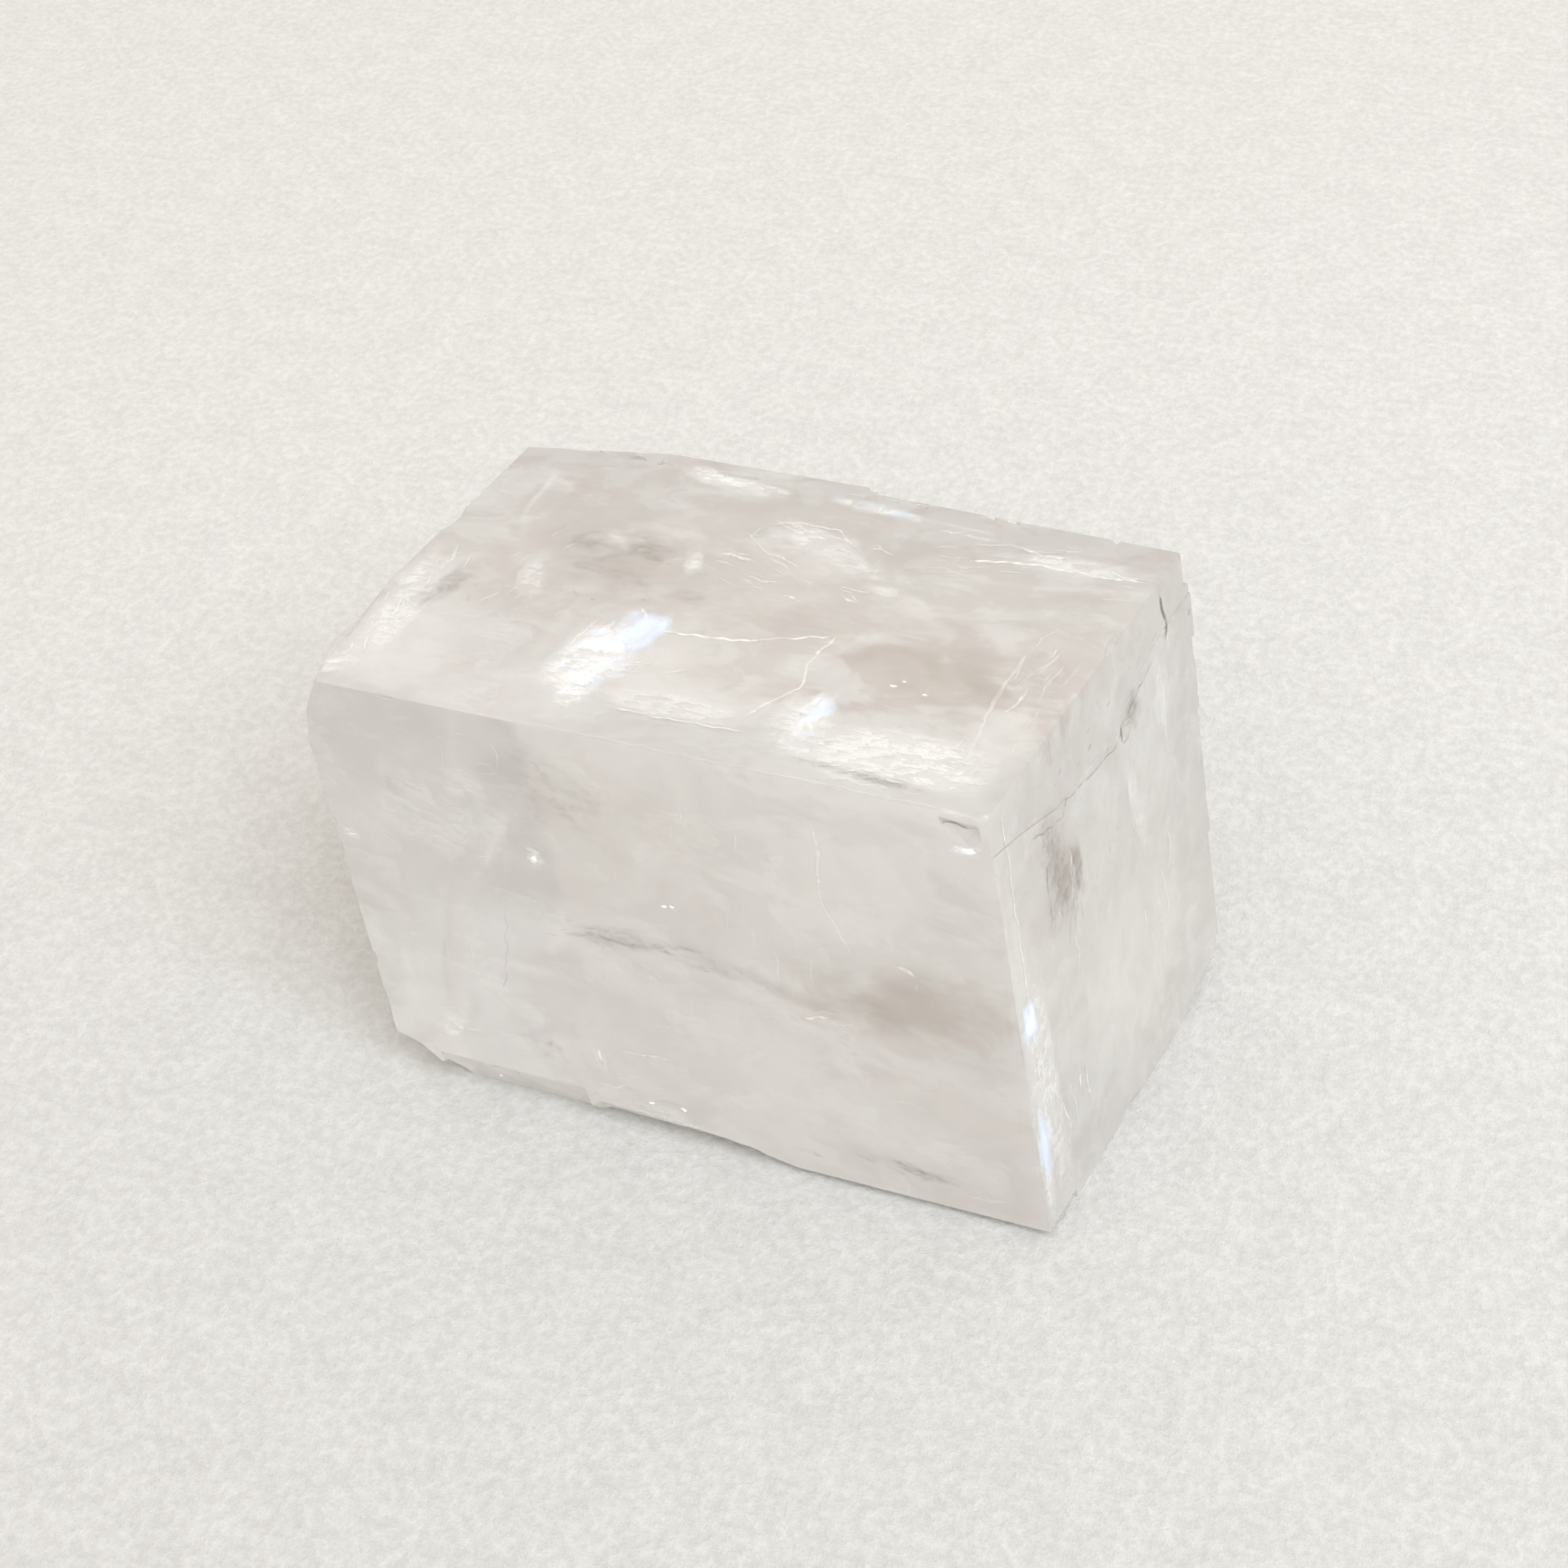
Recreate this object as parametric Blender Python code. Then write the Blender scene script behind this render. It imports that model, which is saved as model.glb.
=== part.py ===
"""A cleaved calcite crystal (Iceland spar): one leaning block with worn corners and stepped faces.

The block is described in its own lattice, in millimetres: u runs along the long edge, v along the
depth edge and w up the leaning edge. Calcite splits along three planes only, so every flat face,
ledge and riser is parallel to two of these axes. Chips that follow no plane are hollow scoops.
"""
import math

import bmesh
import bpy
from mathutils import Matrix, Vector, noise

# Driving dimensions, in millimetres and degrees
LONG_EDGE = 50.0
DEPTH_EDGE = 30.4
RISING_EDGE = 33.8
BLUNT_ANGLE = 101.92   # the obtuse corner of every calcite cleavage face
OVERSHOOT = 2.0        # how far a cutter runs out past the face it opens
SCOOP_DETAIL = 2       # subdivisions of the ball that a scoop is cut with
SCOOP_RIPPLE = 0.16    # unevenness of a scoop, as a share of its radius
MM = 0.001

# Ledges: what has split away from a face. Outlines are (u, w) on the front and back, (v, w) on the
# left and right, and (u, v) on the top and base; depth is measured along the third axis.
LEDGES = {
    "right_top_strip": ("right", 0.12, [
        (-2.0, 31.6), (4.5, 29.8), (8.6, 28.4), (12.7, 28.1), (16.7, 27.9), (20.1, 29.2),
        (23.4, 30.1), (27.5, 30.3), (33.0, 30.5), (33.0, 37.0), (-2.0, 37.0)]),
    "right_far_corner": ("right", 0.5, [
        (22.4, -2.0), (23.2, 0.7), (25.4, 1.3), (27.2, 1.2), (28.3, 2.4), (33.0, 3.6), (33.0, -2.0)]),
    "back_step_high": ("back", 0.7, [
        (53.0, 31.2), (44.0, 31.5), (35.0, 31.0), (27.2, 31.7), (24.6, 27.6), (20.0, 26.2),
        (12.0, 22.5), (7.6, 22.9), (4.4, 20.0), (-2.0, 19.2), (-2.0, -2.0), (53.0, -2.0)]),
    "back_step_middle": ("back", 1.0, [
        (53.0, 27.4), (45.0, 26.4), (38.0, 24.8), (31.0, 24.2), (26.0, 20.4), (17.0, 17.5),
        (13.0, 18.2), (8.0, 14.0), (-2.0, 12.8), (-2.0, -2.0), (53.0, -2.0)]),
    "back_step_low": ("back", 1.3, [
        (53.0, 20.6), (46.0, 20.0), (40.0, 18.0), (33.0, 17.6), (27.0, 14.0), (20.0, 12.4),
        (14.0, 8.0), (10.0, 5.0), (8.0, -2.0), (53.0, -2.0)]),
    "back_foot": ("back", 1.65, [
        (53.0, 11.8), (46.0, 10.6), (41.0, 9.6), (36.0, 6.6), (30.0, 5.2), (26.5, 2.0),
        (25.0, -2.0), (53.0, -2.0)]),
    "left_foot": ("left", 0.65, [
        (8.6, -2.0), (10.4, 4.8), (14.2, 8.4), (19.5, 9.2), (24.0, 11.2), (33.0, 11.6), (33.0, -2.0)]),
    "left_shoulder": ("left", 0.4, [
        (17.8, 15.4), (19.8, 21.0), (24.4, 23.4), (26.0, 27.2), (33.0, 28.4), (33.0, 15.0)]),
    "left_sliver": ("left", 0.25, [
        (6.8, 18.2), (8.8, 23.6), (12.2, 24.6), (13.0, 21.2), (10.4, 17.0)]),
    "base_undercut": ("base", 0.6, [
        (14.2, -2.0), (14.5, 1.4), (16.8, 2.5), (24.0, 2.7), (31.0, 3.6), (38.5, 3.1), (46.0, 4.2),
        (53.0, 4.0), (53.0, -2.0)]),
    "base_back_left": ("base", 0.5, [
        (-2.0, 20.5), (4.4, 21.8), (9.0, 26.0), (12.5, 33.0), (-2.0, 33.0)]),
}

# Corners sheared off by a flat break: three points that the break passes through
SHEARS = {
    "front_left_peak": [(1.95, 0.0, 33.8), (0.35, 0.0, 30.9), (0.5, 3.7, 33.8)],
    "front_left_rim": [(0.55, 0.0, 31.2), (0.0, 0.0, 28.7), (0.0, 3.4, 32.0)],
    "back_left_peak": [(0.0, 28.4, 33.8), (10.5, 30.4, 33.8), (0.0, 30.4, 30.4)],
    "back_right_foot": [(50.0, 27.0, 0.0), (50.0, 28.75, 2.2), (46.8, 28.75, 0.0)],
}

# Breaks along an edge that follow no plane of the lattice: the corners of what is missing
WEDGES = {
    "front_left_foot": [
        (-1.5, -1.5, 4.95), (1.7, -1.2, 3.95), (4.75, -1.2, 1.35), (4.9, -1.5, -1.5),
        (-1.5, -1.5, -1.5), (-1.5, 7.4, 1.3), (-1.5, 8.6, -1.5), (3.2, 5.6, -0.2), (4.0, 4.6, -1.5)],
    "front_foot_left": [
        (3.4, -1.5, 6.2), (2.8, -1.5, -1.5), (3.4, 2.1, -1.5), (4.4, 1.2, 0.0),
        (15.6, 1.2, 0.0), (15.8, -1.5, -1.5), (14.8, -1.5, 6.2), (15.4, 2.1, -1.5)],
    "front_foot_right": [
        (14.6, -1.0, 2.2), (16.3, -1.0, 3.5), (19.0, -1.0, 3.4), (24.0, -1.0, 2.9), (27.5, -1.0, 1.9),
        (34.0, -1.0, 0.9), (14.6, -1.0, -1.5), (34.0, -1.0, -1.5), (16.0, 1.9, -0.5), (30.0, 1.6, -0.5)],
    "back_rim": [
        (26.8, 29.8, 31.7), (26.8, 29.8, 36.0), (52.0, 28.98, 31.0), (52.0, 28.98, 36.0),
        (26.8, 33.0, 31.7), (26.8, 33.0, 36.0), (52.0, 33.0, 31.0), (52.0, 33.0, 36.0)],
    "pit_by_near_corner": [
        (46.6, -0.6, 33.5), (46.7, 0.75, 33.25), (49.2, 0.55, 33.15), (49.5, -0.6, 33.3),
        (47.2, -0.5, 31.4), (49.6, -0.5, 31.2), (48.2, 0.2, 31.7)],
    "nick_front_middle": [
        (15.2, -0.4, 24.1), (16.7, -0.4, 23.9), (15.4, 0.3, 23.9), (16.6, 0.25, 23.6),
        (15.8, -0.4, 22.9), (16.9, -0.4, 23.1)],
}

# Hollow, shell-like chips: centre in the lattice and radii along x, y and z
SCOOPS = {
    "front_foot_sparkle": ((22.0, -0.5, 3.3), (2.0, 0.75, 0.8)),
    "front_foot_low": ((27.2, -0.4, 0.9), (2.6, 0.8, 0.7)),
    "front_foot_left_end": ((8.4, 0.0, 2.3), (1.5, 0.6, 0.7)),
    "left_nick_high": ((-0.35, -0.3, 20.0), (0.75, 0.8, 1.0)),
    "left_nick_low": ((-0.35, -0.35, 10.6), (0.8, 0.7, 0.9)),
    "left_rim_long": ((-0.35, 8.2, 34.2), (1.3, 6.6, 0.9)),
    "left_rim_short": ((-0.3, 19.8, 34.1), (0.6, 2.1, 0.6)),
    "left_back_edge": ((-0.5, 30.2, 14.5), (1.5, 1.5, 2.8)),
    "left_base_edge": ((-0.3, 12.5, 0.0), (1.2, 2.6, 1.0)),
    "back_rim_left": ((7.9, 30.5, 34.0), (1.1, 0.75, 0.7)),
    "back_rim_middle": ((26.9, 30.3, 34.1), (0.8, 0.6, 0.6)),
    "back_rim_right": ((36.9, 29.9, 34.2), (1.3, 0.7, 0.7)),
    "back_rim_far": ((42.6, 29.7, 34.3), (1.5, 0.7, 0.7)),
    "back_base_edge": ((22.0, 29.5, -0.2), (3.4, 1.3, 1.1)),
    "right_rim": ((50.0, 18.0, 34.0), (0.5, 1.3, 0.5)),
    "right_face_pit": ((50.1, 18.3, 27.4), (0.45, 0.9, 1.1)),
    "right_base_edge": ((50.2, 12.5, -0.1), (0.8, 1.9, 0.7)),
    "near_corner": ((50.1, 0.0, 34.1), (0.7, 0.6, 0.5)),
}
SCOOP_SEED = 7.3

COLOUR = (0.80, 0.775, 0.74, 1.0)
ROUGHNESS = 0.08
REFRACTIVE_INDEX = 1.6


def lattice_axes():
    """Unit vectors of the three edges that meet at the base's front left corner."""
    blunt = math.radians(BLUNT_ANGLE)
    sharp = math.pi - blunt
    u_axis = Vector((1.0, 0.0, 0.0))
    v_axis = Vector((math.cos(sharp), math.sin(sharp), 0.0))
    w_x = math.cos(blunt)
    w_y = (math.cos(sharp) - v_axis.x * w_x) / v_axis.y
    w_axis = Vector((w_x, w_y, math.sqrt(1.0 - w_x * w_x - w_y * w_y)))
    return u_axis, v_axis, w_axis


AXES = lattice_axes()
SIZES = (LONG_EDGE, DEPTH_EDGE, RISING_EDGE)
FACES = {  # the axis that a face closes, and whether it lies at that axis's far end
    "left": (0, False), "right": (0, True),
    "front": (1, False), "back": (1, True),
    "base": (2, False), "top": (2, True),
}


def place(u, v, w):
    """Position in metres of a lattice point given in millimetres."""
    return (AXES[0] * u + AXES[1] * v + AXES[2] * w) * MM


def mesh_object(name, bm):
    """An object that holds the given bmesh, with its faces turned outwards."""
    bmesh.ops.recalc_face_normals(bm, faces=bm.faces)
    mesh = bpy.data.meshes.new(name)
    bm.to_mesh(mesh)
    bm.free()
    item = bpy.data.objects.new(name, mesh)
    bpy.context.scene.collection.objects.link(item)
    return item


def prism(name, axis, outline, low, high):
    """A closed bar along one lattice axis, whose outline is given in the other two."""
    bm = bmesh.new()
    rings = []
    for level in (low, high):
        ring = []
        for first, second in outline:
            point = [first, second]
            point.insert(axis, level)
            ring.append(bm.verts.new(place(*point)))
        rings.append(ring)
    bm.faces.new(rings[0])
    bm.faces.new(list(reversed(rings[1])))
    count = len(outline)
    for i in range(count):
        j = (i + 1) % count
        bm.faces.new((rings[0][i], rings[1][i], rings[1][j], rings[0][j]))
    return mesh_object(name, bm)


def whole_block():
    """The cleavage block before anything broke off it."""
    outline = [(0.0, 0.0), (LONG_EDGE, 0.0), (LONG_EDGE, DEPTH_EDGE), (0.0, DEPTH_EDGE)]
    return prism("calcite_crystal", 2, outline, 0.0, RISING_EDGE)


def shear(block, points):
    """Cut the block along the plane of three points and drop the smaller piece."""
    a, b, c = (place(*p) for p in points)
    normal = (b - a).cross(c - a).normalized()
    centre = place(*(size / 2.0 for size in SIZES))
    if normal.dot(centre - a) > 0.0:
        normal = -normal
    bm = bmesh.new()
    bm.from_mesh(block.data)
    everything = bm.verts[:] + bm.edges[:] + bm.faces[:]
    cut = bmesh.ops.bisect_plane(bm, geom=everything, plane_co=a, plane_no=normal, clear_outer=True)
    rim = [e for e in cut["geom_cut"] if isinstance(e, bmesh.types.BMEdge)]
    bmesh.ops.contextual_create(bm, geom=rim)
    bm.to_mesh(block.data)
    bm.free()


def ledge_cutter(name, face, depth, outline):
    """What a ledge lost: a flat slab that starts below the face and runs out past it."""
    axis, far = FACES[face]
    if far:
        return prism(name, axis, outline, SIZES[axis] - depth, SIZES[axis] + OVERSHOOT)
    return prism(name, axis, outline, -OVERSHOOT, depth)


def wedge_cutter(name, corners):
    """The convex piece that spans the given lattice corners."""
    bm = bmesh.new()
    for corner in corners:
        bm.verts.new(place(*corner))
    hull = bmesh.ops.convex_hull(bm, input=bm.verts[:])
    inside = [item for item in hull["geom_interior"] if isinstance(item, bmesh.types.BMVert)]
    bmesh.ops.delete(bm, geom=inside, context="VERTS")
    return mesh_object(name, bm)


def scoop_cutter(name, centre, radii, seed):
    """An uneven ball, so that the chip it leaves is rippled like a shell."""
    bm = bmesh.new()
    bmesh.ops.create_icosphere(bm, subdivisions=SCOOP_DETAIL, radius=1.0)
    for vert in bm.verts:
        bump = noise.noise(vert.co * 1.9 + Vector((seed, 0.0, 0.0)))
        vert.co *= 1.0 + SCOOP_RIPPLE * bump
    stretch = Matrix.Diagonal([radius * MM for radius in radii]).to_4x4()
    bmesh.ops.transform(bm, matrix=Matrix.Translation(place(*centre)) @ stretch, verts=bm.verts)
    return mesh_object(name, bm)


def take_away(block, cutter):
    """Cut one hidden piece out of the block."""
    cutter.hide_render = True
    cutter.display_type = "WIRE"
    boolean = block.modifiers.new(cutter.name, "BOOLEAN")
    boolean.operation = "DIFFERENCE"
    boolean.solver = "EXACT"
    boolean.object = cutter


def calcite_material():
    """Clear calcite with a faint warm grey cast."""
    material = bpy.data.materials.new("calcite")
    material.use_nodes = True
    shader = material.node_tree.nodes["Principled BSDF"]
    shader.inputs["Base Color"].default_value = COLOUR
    shader.inputs["Roughness"].default_value = ROUGHNESS
    shader.inputs["Metallic"].default_value = 0.0
    shader.inputs["IOR"].default_value = REFRACTIVE_INDEX
    shader.inputs["Transmission Weight"].default_value = 1.0
    material.diffuse_color = COLOUR
    return material


def stand_on_origin(block, followers):
    """Hang everything on one empty and centre the finished crystal over the origin."""
    frame = bpy.data.objects.new("crystal_frame", None)
    bpy.context.scene.collection.objects.link(frame)
    for item in [block] + followers:
        item.parent = frame
    bpy.context.view_layer.update()
    finished = block.evaluated_get(bpy.context.evaluated_depsgraph_get())
    points = [finished.matrix_world @ vert.co for vert in finished.data.vertices]
    middle_x = (min(p.x for p in points) + max(p.x for p in points)) / 2.0
    middle_y = (min(p.y for p in points) + max(p.y for p in points)) / 2.0
    frame.location = (-middle_x, -middle_y, 0.0)
    bpy.context.view_layer.update()


def build():
    for item in list(bpy.data.objects):
        bpy.data.objects.remove(item)
    block = whole_block()
    for points in SHEARS.values():
        shear(block, points)
    cutters = []
    for name, (face, depth, outline) in LEDGES.items():
        cutters.append(ledge_cutter(name, face, depth, outline))
    for name, corners in WEDGES.items():
        cutters.append(wedge_cutter(name, corners))
    for index, (name, (centre, radii)) in enumerate(SCOOPS.items()):
        cutters.append(scoop_cutter(name, centre, radii, SCOOP_SEED + index))
    for cutter in cutters:
        take_away(block, cutter)
    block.data.materials.append(calcite_material())
    stand_on_origin(block, cutters)


build()
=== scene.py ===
# Calcite rhomb on pale paper: the imported crystal, chipped finer and dressed with cracks, cloud, stains, and
# painted highlights and shade
import math
import random

import bmesh
import bpy
from mathutils import Matrix, Vector, noise
from mathutils.bvhtree import BVHTree


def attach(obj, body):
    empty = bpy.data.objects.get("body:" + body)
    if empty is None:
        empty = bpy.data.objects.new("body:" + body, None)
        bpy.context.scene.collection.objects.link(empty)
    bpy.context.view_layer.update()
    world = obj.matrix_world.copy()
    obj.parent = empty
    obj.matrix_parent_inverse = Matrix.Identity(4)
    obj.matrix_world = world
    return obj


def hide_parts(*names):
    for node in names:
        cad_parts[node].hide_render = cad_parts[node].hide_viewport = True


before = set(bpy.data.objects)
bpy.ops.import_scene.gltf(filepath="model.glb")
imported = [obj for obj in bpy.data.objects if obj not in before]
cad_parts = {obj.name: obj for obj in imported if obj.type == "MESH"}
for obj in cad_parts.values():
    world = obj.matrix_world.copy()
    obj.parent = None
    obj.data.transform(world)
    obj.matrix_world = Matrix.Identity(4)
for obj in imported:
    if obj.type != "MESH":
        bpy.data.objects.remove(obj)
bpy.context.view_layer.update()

mm = 0.001

# u runs along the long edge, v into the depth and w up the leaning edge, all in mm
lattice = {
    "bluntAngle": 101.92,            # the obtuse angle of every cleavage face
    "corner": (-24.745, -19.253),    # base corner at front left, where u = v = w = 0
    "size": (50.0, 29.1, 33.8),
}


def latticeAxes():
    blunt = math.radians(lattice["bluntAngle"])
    sharp = math.pi - blunt
    along = Vector((1, 0, 0))
    deep = Vector((math.cos(sharp), math.sin(sharp), 0))
    riseX = math.cos(blunt)
    riseY = (math.cos(sharp) - deep.x * riseX) / deep.y
    return along, deep, Vector((riseX, riseY, math.sqrt(1 - riseX * riseX - riseY * riseY)))


along, deep, rise = latticeAxes()


def at(u, v, w):
    x, y = lattice["corner"]
    return (Vector((x, y, 0)) + along * u + deep * v + rise * w) * mm


def onFace(face, a, b):
    # a point on one of the three faces that show most, a and b mm along its two edges
    if face == "top":
        return at(a, b, lattice["size"][2])
    if face == "front":
        return at(a, 0, b)
    return at(lattice["size"][0], a, b)


# the two edges of each face, and the way that points out of the stone
faceAxes = {"top": (along, deep, rise), "front": (along, rise, -deep), "right": (deep, rise, along)}


# --- camera and light

camera = {
    "place": (46.04, -105.99, 139.21),   # mm
    "lookAt": (-1.73, 3.93, 15.0),
    "roll": -5.52,                       # degrees
    "lens": 52.96,
    "sensor": 36.0,
}


def makeCamera():
    data = bpy.data.cameras.new("camera")
    data.lens = camera["lens"]
    data.sensor_width = camera["sensor"]
    data.clip_start = 0.005
    data.clip_end = 10
    cam = bpy.data.objects.new("camera", data)
    bpy.context.scene.collection.objects.link(cam)
    place = Vector(camera["place"]) * mm
    aim = (Vector(camera["lookAt"]) * mm - place).to_track_quat("-Z", "Y").to_matrix().to_4x4()
    roll = Matrix.Rotation(math.radians(camera["roll"]), 4, "Z")
    cam.matrix_world = Matrix.Translation(place) @ aim @ roll
    bpy.context.scene.camera = cam
    print("camera placed")


light = {
    "skyColour": (1.0, 0.925, 0.848),
    "skyStrength": 1.03,
    "windowPlace": (0.60, -0.26, 0.95),   # metres, as its size is
    "windowSize": (0.75, 0.75),
    "windowPower": 6.4,                   # watts
    "windowColour": (0.81, 0.912, 1.0),
    "bounces": 14,
}


def makeLights():
    scene = bpy.context.scene
    world = bpy.data.worlds.new("studio")
    scene.world = world
    world.use_nodes = True
    sky = world.node_tree.nodes["Background"]
    sky.inputs["Color"].default_value = (*light["skyColour"], 1)
    sky.inputs["Strength"].default_value = light["skyStrength"]
    data = bpy.data.lights.new("window", "AREA")
    data.shape = "RECTANGLE"
    data.size, data.size_y = light["windowSize"]
    data.energy = light["windowPower"]
    data.color = light["windowColour"]
    lamp = bpy.data.objects.new("window", data)
    scene.collection.objects.link(lamp)
    lamp.location = light["windowPlace"]
    lamp.rotation_mode = "QUATERNION"
    lamp.rotation_quaternion = (-Vector(light["windowPlace"])).to_track_quat("-Z", "Y")
    scene.view_settings.view_transform = "Standard"
    scene.cycles.max_bounces = light["bounces"]
    scene.cycles.transmission_bounces = light["bounces"]
    scene.cycles.transparent_max_bounces = light["bounces"] * 2
    print("lights set")


# --- node helpers

def makeGroup(name, inputs, outputs):
    group = bpy.data.node_groups.new(name, "ShaderNodeTree")
    for label, kind, value in inputs:
        socket = group.interface.new_socket(label, in_out="INPUT", socket_type=kind)
        socket.default_value = value
    for label, kind in outputs:
        group.interface.new_socket(label, in_out="OUTPUT", socket_type=kind)
    return group, group.nodes.new("NodeGroupInput"), group.nodes.new("NodeGroupOutput")


def addNode(tree, kind, settings=None, values=None):
    node = tree.nodes.new(kind)
    for key, value in (settings or {}).items():
        setattr(node, key, value)
    for key, value in (values or {}).items():
        node.inputs[key].default_value = value
    return node


def link(tree, output, socket):
    tree.links.new(output, socket)


def mathNode(tree, operation, first, second=None, clamp=False):
    node = addNode(tree, "ShaderNodeMath", {"operation": operation, "use_clamp": clamp})
    for socket, value in zip(node.inputs, (first, second)):
        if isinstance(value, (int, float)):
            socket.default_value = value
        elif value is not None:
            link(tree, value, socket)
    return node.outputs[0]


def rampNode(tree, value, low, high, toLow=0.0, toHigh=1.0):
    node = addNode(tree, "ShaderNodeMapRange", {"interpolation_type": "SMOOTHSTEP"})
    link(tree, value, node.inputs["Value"])
    for key, bound in (("From Min", low), ("From Max", high), ("To Min", toLow), ("To Max", toHigh)):
        if isinstance(bound, (int, float)):
            node.inputs[key].default_value = bound
        else:
            link(tree, bound, node.inputs[key])
    return node.outputs["Result"]


def mixColour(tree, factor, first, second, blend="MIX"):
    node = addNode(tree, "ShaderNodeMix", {"data_type": "RGBA", "blend_type": blend})
    if isinstance(factor, (int, float)):
        node.inputs[0].default_value = factor
    else:
        link(tree, factor, node.inputs[0])
    for socket, value in ((node.inputs[6], first), (node.inputs[7], second)):
        if isinstance(value, tuple):
            socket.default_value = (*value, 1)
        else:
            link(tree, value, socket)
    return node.outputs[2]


def latticePlace(tree, scale, offset):
    # object coordinates turned into u, v, w in mm, each then scaled on its own
    here = addNode(tree, "ShaderNodeTexCoord").outputs["Object"]
    corner = addNode(tree, "ShaderNodeVectorMath", {"operation": "SUBTRACT"}, {1: at(0, 0, 0)})
    link(tree, here, corner.inputs[0])
    inverse = Matrix((along, deep, rise)).transposed().inverted()
    parts = addNode(tree, "ShaderNodeCombineXYZ")
    for row, socket in zip(inverse, parts.inputs):
        dot = addNode(tree, "ShaderNodeVectorMath", {"operation": "DOT_PRODUCT"}, {1: Vector(row) / mm})
        link(tree, corner.outputs[0], dot.inputs[0])
        link(tree, dot.outputs["Value"], socket)
    fit = addNode(tree, "ShaderNodeVectorMath", {"operation": "MULTIPLY_ADD"})
    link(tree, parts.outputs[0], fit.inputs[0])
    link(tree, scale, fit.inputs[1])
    link(tree, offset, fit.inputs[2])
    return fit.outputs[0]


def makeWispGroup():
    # cloudy wisps drawn out along the cleavage, from 0 clear to 1 cloudy
    group, source, sink = makeGroup(
        "calciteWisps",
        [("Stretch", "NodeSocketVector", (0.1, 0.1, 0.1)), ("Offset", "NodeSocketVector", (0, 0, 0)),
         ("Detail", "NodeSocketFloat", 4.0), ("Curl", "NodeSocketFloat", 0.6),
         ("Low", "NodeSocketFloat", 0.4), ("High", "NodeSocketFloat", 0.7)],
        [("Mask", "NodeSocketFloat")])
    place = latticePlace(group, source.outputs["Stretch"], source.outputs["Offset"])
    cloud = addNode(group, "ShaderNodeTexNoise", {}, {"Scale": 1.0, "Roughness": 0.58})
    link(group, place, cloud.inputs["Vector"])
    link(group, source.outputs["Detail"], cloud.inputs["Detail"])
    link(group, source.outputs["Curl"], cloud.inputs["Distortion"])
    mask = rampNode(group, cloud.outputs["Fac"], source.outputs["Low"], source.outputs["High"])
    link(group, mask, sink.inputs["Mask"])
    return group


def makeShardGroup():
    # angular flakes in the cleavage, each crisp on one side and thinning out across itself, from 0 to 1
    group, source, sink = makeGroup(
        "calciteShards",
        [("Stretch", "NodeSocketVector", (0.3, 0.3, 0.3)), ("Offset", "NodeSocketVector", (0, 0, 0)),
         ("Share", "NodeSocketFloat", 0.5), ("Warp", "NodeSocketFloat", 0.4),
         ("Streak", "NodeSocketFloat", 4.0)],
        [("Mask", "NodeSocketFloat")])
    place = latticePlace(group, source.outputs["Stretch"], source.outputs["Offset"])
    bend = addNode(group, "ShaderNodeTexNoise", {}, {"Scale": 1.5, "Detail": 2.0, "Roughness": 0.6})
    link(group, place, bend.inputs["Vector"])
    centred = addNode(group, "ShaderNodeVectorMath", {"operation": "SUBTRACT"}, {1: (0.5, 0.5, 0.5)})
    link(group, bend.outputs["Color"], centred.inputs[0])
    shift = addNode(group, "ShaderNodeVectorMath", {"operation": "SCALE"})
    link(group, centred.outputs[0], shift.inputs[0])
    link(group, source.outputs["Warp"], shift.inputs["Scale"])
    moved = addNode(group, "ShaderNodeVectorMath", {"operation": "ADD"})
    link(group, place, moved.inputs[0])
    link(group, shift.outputs[0], moved.inputs[1])
    cells = addNode(group, "ShaderNodeTexVoronoi", {"distance": "CHEBYCHEV"},
                    {"Scale": 1.0, "Randomness": 0.9})
    link(group, moved.outputs[0], cells.inputs["Vector"])
    parts = addNode(group, "ShaderNodeSeparateColor")
    link(group, cells.outputs["Color"], parts.inputs[0])
    least = mathNode(group, "SUBTRACT", 1.0, source.outputs["Share"])
    chosen = rampNode(group, parts.outputs[0], least, mathNode(group, "ADD", least, 0.12))
    across = addNode(group, "ShaderNodeVectorMath", {"operation": "SUBTRACT"})
    link(group, moved.outputs[0], across.inputs[0])
    link(group, cells.outputs["Position"], across.inputs[1])
    slope = addNode(group, "ShaderNodeVectorMath", {"operation": "DOT_PRODUCT"}, {1: (0.7, -0.6, 0.8)})
    link(group, across.outputs[0], slope.inputs[0])
    thin = rampNode(group, slope.outputs["Value"], -0.5, 0.45)
    stretched = addNode(group, "ShaderNodeVectorMath", {"operation": "MULTIPLY"}, {1: (1.0, 2.2, 1.5)})
    link(group, moved.outputs[0], stretched.inputs[0])
    streak = addNode(group, "ShaderNodeTexNoise", {}, {"Detail": 4.0, "Roughness": 0.65})
    link(group, stretched.outputs[0], streak.inputs["Vector"])
    link(group, source.outputs["Streak"], streak.inputs["Scale"])
    grain = rampNode(group, streak.outputs["Fac"], 0.36, 0.62, 0.25, 1.0)
    mask = mathNode(group, "MULTIPLY", mathNode(group, "MULTIPLY", chosen, thin), grain)
    link(group, mask, sink.inputs["Mask"])
    return group


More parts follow.
